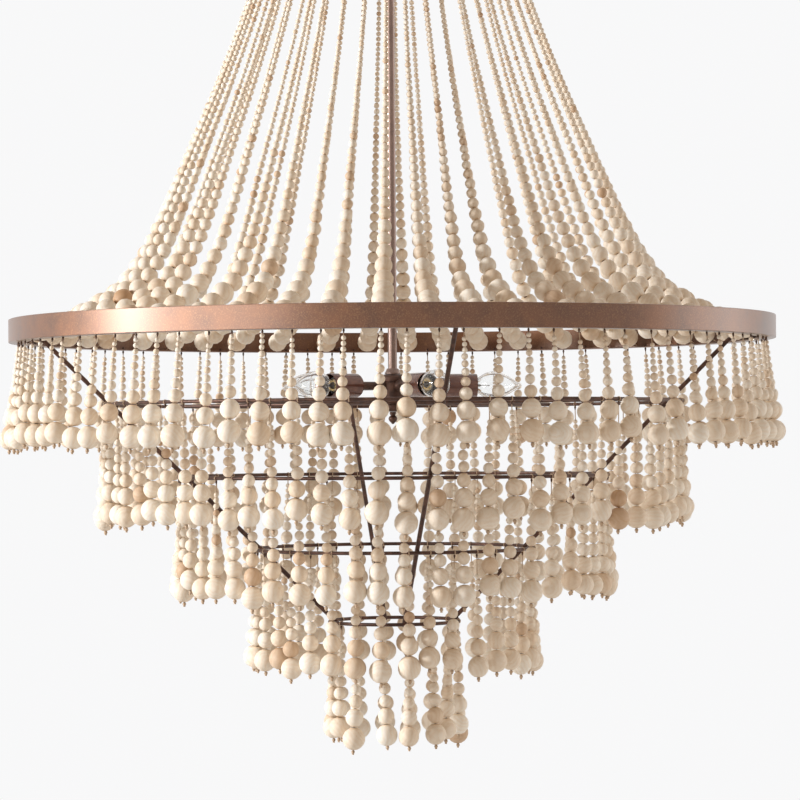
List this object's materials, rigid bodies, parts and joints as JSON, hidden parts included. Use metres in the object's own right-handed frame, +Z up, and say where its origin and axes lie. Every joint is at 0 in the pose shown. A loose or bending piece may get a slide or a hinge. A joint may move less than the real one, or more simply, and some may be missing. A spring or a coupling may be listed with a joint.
{
  "type": "beaded chandelier",
  "caption": "Tiered ceiling chandelier with graduated wood bead strings on a metal hoop and rings, a bead curtain up to its crown and lamps on a central hub.",
  "frame": {"origin": "the point of the ceiling that the fixture hangs from, on the axis of the stem", "axes": "+Z up along the stem, -Y towards the front of the picture, +X to its right"},
  "size_m": [0.8894, 0.8894, 1.2909],
  "materials": {
    "zinc": "satin",
    "bronze": "satin",
    "dark_bronze": "satin",
    "sleeve": "gloss",
    "lampholder": "matte",
    "brass": "satin",
    "bulb_glass": "gloss",
    "pale_wood": "matte"
  },
  "bodies": {
    "canopy": {"ceiling_strap": "zinc", "strap_nut": "zinc", "canopy": "bronze", "canopy_stud": "zinc", "canopy_loop": "bronze"},
    "link_1": {"chain_link_1": "bronze"},
    "link_2": {"chain_link_2": "bronze"},
    "link_3": {"chain_link_3": "bronze"},
    "fixture": {"fixture_loop": "bronze", "stem": "bronze", "crown_spider": "dark_bronze", "crown_nut": "bronze", "crown_bead_curtain": "pale_wood", "hoop_bead_fringe": "pale_wood", "ring_2_bead_fringe": "pale_wood", "ring_3_bead_fringe": "pale_wood", "ring_4_bead_fringe": "pale_wood", "ring_5_bead_fringe": "pale_wood", "strut_1": "dark_bronze", "strut_2": "dark_bronze", "strut_3": "dark_bronze", "strut_4": "dark_bronze", "spoke_1": "dark_bronze", "spoke_2": "dark_bronze", "spoke_3": "dark_bronze", "spoke_4": "dark_bronze", "stem_nut": "bronze", "hub": "dark_bronze", "finial": "dark_bronze", "arm_1": "dark_bronze", "arm_2": "dark_bronze", "arm_3": "dark_bronze", "arm_4": "dark_bronze", "arm_5": "dark_bronze", "sleeve_1": "sleeve", "sleeve_2": "sleeve", "sleeve_3": "sleeve", "sleeve_4": "sleeve", "sleeve_5": "sleeve", "lampholder_1": "lampholder", "lampholder_2": "lampholder", "lampholder_3": "lampholder", "lampholder_4": "lampholder", "lampholder_5": "lampholder"},
    "bulb_1": {"bulb_base_1": "brass", "bulb_glass_1": "bulb_glass"},
    "bulb_2": {"bulb_base_2": "brass", "bulb_glass_2": "bulb_glass"},
    "bulb_3": {"bulb_base_3": "brass", "bulb_glass_3": "bulb_glass"},
    "bulb_4": {"bulb_base_4": "brass", "bulb_glass_4": "bulb_glass"},
    "bulb_5": {"bulb_base_5": "brass", "bulb_glass_5": "bulb_glass"}
  },
  "joints": [
    {"name": "canopy_swing", "type": "hinge", "parent": "canopy", "child": "link_1", "pos_m": [0, 0, -0.0638], "axis": [1, 0, 0], "range_deg": [-20, 20]},
    {"name": "upper_link_swing", "type": "hinge", "parent": "link_1", "child": "link_2", "pos_m": [0, 0, -0.0969], "axis": [0, 1, 0], "range_deg": [-20, 20]},
    {"name": "lower_link_swing", "type": "hinge", "parent": "link_2", "child": "link_3", "pos_m": [0, 0, -0.1306], "axis": [1, 0, 0], "range_deg": [-20, 20]},
    {"name": "fixture_swing", "type": "hinge", "parent": "link_3", "child": "fixture", "pos_m": [0, 0, -0.1643], "axis": [0, 1, 0], "range_deg": [-20, 20]},
    {"name": "bulb_1_out", "type": "slide", "parent": "fixture", "child": "bulb_1", "axis": [0.4067, -0.9135, 0], "range_m": [0, 0.02]},
    {"name": "bulb_2_out", "type": "slide", "parent": "fixture", "child": "bulb_2", "axis": [0.9945, 0.1045, 0], "range_m": [0, 0.02]},
    {"name": "bulb_3_out", "type": "slide", "parent": "fixture", "child": "bulb_3", "axis": [0.2079, 0.9781, 0], "range_m": [0, 0.02]},
    {"name": "bulb_4_out", "type": "slide", "parent": "fixture", "child": "bulb_4", "axis": [-0.866, 0.5, 0], "range_m": [0, 0.02]},
    {"name": "bulb_5_out", "type": "slide", "parent": "fixture", "child": "bulb_5", "axis": [-0.7431, -0.6691, 0], "range_m": [0, 0.02]}
  ]
}
